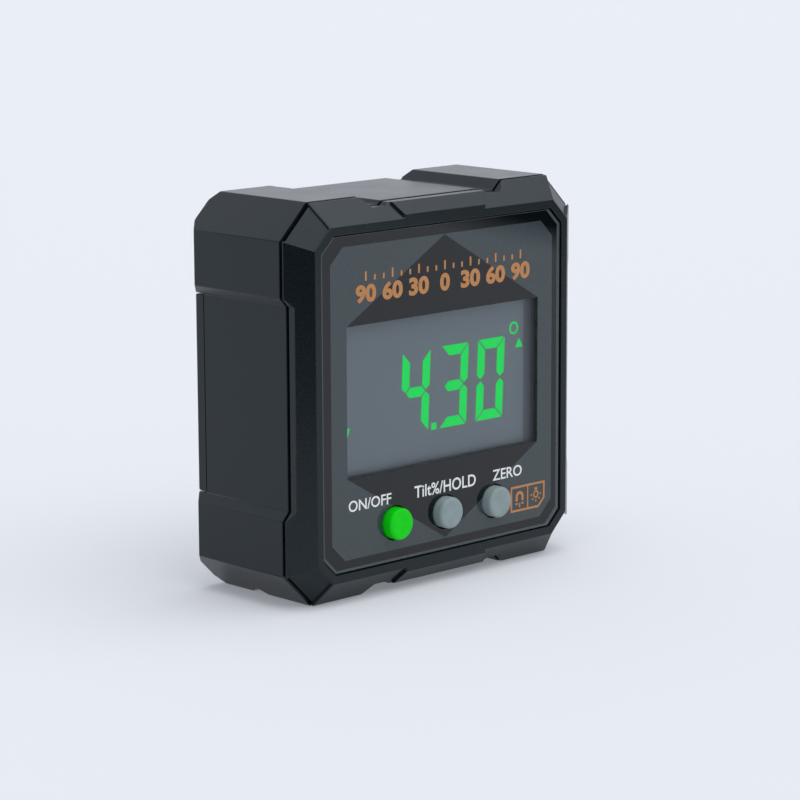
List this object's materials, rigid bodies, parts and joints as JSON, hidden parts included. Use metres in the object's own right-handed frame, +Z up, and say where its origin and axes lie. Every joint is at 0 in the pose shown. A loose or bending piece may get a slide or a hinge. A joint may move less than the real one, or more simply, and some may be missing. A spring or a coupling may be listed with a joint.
{
  "type": "digital angle gauge",
  "caption": "Square pocket angle gauge with a chamfered two-shell case, a display window behind a clear panel, push buttons, a magnetic grooved base and a battery door.",
  "frame": {"origin": "middle of the box, on the plane that the feet stand on", "axes": "+X to the right seen from the display, +Y from the display to the rear, +Z up"},
  "size_m": [0.057, 0.025, 0.057],
  "materials": {
    "case_plastic": "black ABS with a fine spark-eroded grain",
    "clear_acrylic": "clear acrylic sheet, printed on its back",
    "black_tape": "black foam adhesive tape",
    "green_key": "glossy green moulding",
    "grey_key": "grey moulding, satin",
    "black_plastic": "black moulding",
    "switch_shell": "plain stamped steel",
    "board_green": "green solder mask over glass fibre board",
    "chip_black": "black moulded package",
    "crystal_can": "plain metal can",
    "capacitor": "sintered ceramic",
    "display_glass": "polarised display glass",
    "light_guide": "clear light guide",
    "display_rubber": "layered contact rubber",
    "cell_jacket": "printed film over a steel can",
    "contact_nickel": "nickel plated spring steel",
    "magnet_nickel": "nickel plated magnet",
    "screw_zinc": "zinc plated steel"
  },
  "bodies": {
    "housing": {"front_cover": "case_plastic", "rear_case": "case_plastic", "lens_panel": "clear_acrylic", "lens_tape": "black_tape", "circuit_board": "board_green", "controller_chip": "chip_black", "tilt_sensor": "chip_black", "timing_crystal": "crystal_can", "board_parts": "capacitor", "lcd_glass": "display_glass", "lcd_backlight": "light_guide", "lcd_frame": "black_plastic", "lcd_connector": "display_rubber", "battery_upper": "cell_jacket", "battery_lower": "cell_jacket", "negative_plate": "contact_nickel", "negative_spring": "contact_nickel", "positive_plate": "contact_nickel", "bridge_plate": "contact_nickel", "bridge_spring": "contact_nickel", "case_screws": "screw_zinc", "board_screws": "screw_zinc", "power_switch": "switch_shell", "hold_switch": "switch_shell", "zero_switch": "switch_shell", "magnet_front_left": "magnet_nickel", "magnet_front_right": "magnet_nickel", "magnet_rear_left": "magnet_nickel", "magnet_rear_right": "magnet_nickel"},
    "power_key": {"power_button": "green_key", "power_plunger": "black_plastic"},
    "hold_key": {"hold_button": "grey_key", "hold_plunger": "black_plastic"},
    "zero_key": {"zero_button": "grey_key", "zero_plunger": "black_plastic"},
    "door": {"battery_door": "case_plastic"}
  },
  "joints": [
    {"name": "power_press", "type": "slide", "parent": "housing", "child": "power_key", "axis": [0, 1, 0], "range_m": [0, 0.0004], "stiffness_N_per_m": 400, "springref_m": -0.0004},
    {"name": "hold_press", "type": "slide", "parent": "housing", "child": "hold_key", "axis": [0, 1, 0], "range_m": [0, 0.0004], "stiffness_N_per_m": 400, "springref_m": -0.0004},
    {"name": "zero_press", "type": "slide", "parent": "housing", "child": "zero_key", "axis": [0, 1, 0], "range_m": [0, 0.0004], "stiffness_N_per_m": 400, "springref_m": -0.0004},
    {"name": "door_pull", "type": "slide", "parent": "housing", "child": "door", "axis": [0, 1, 0], "range_m": [0, 0.02]}
  ]
}
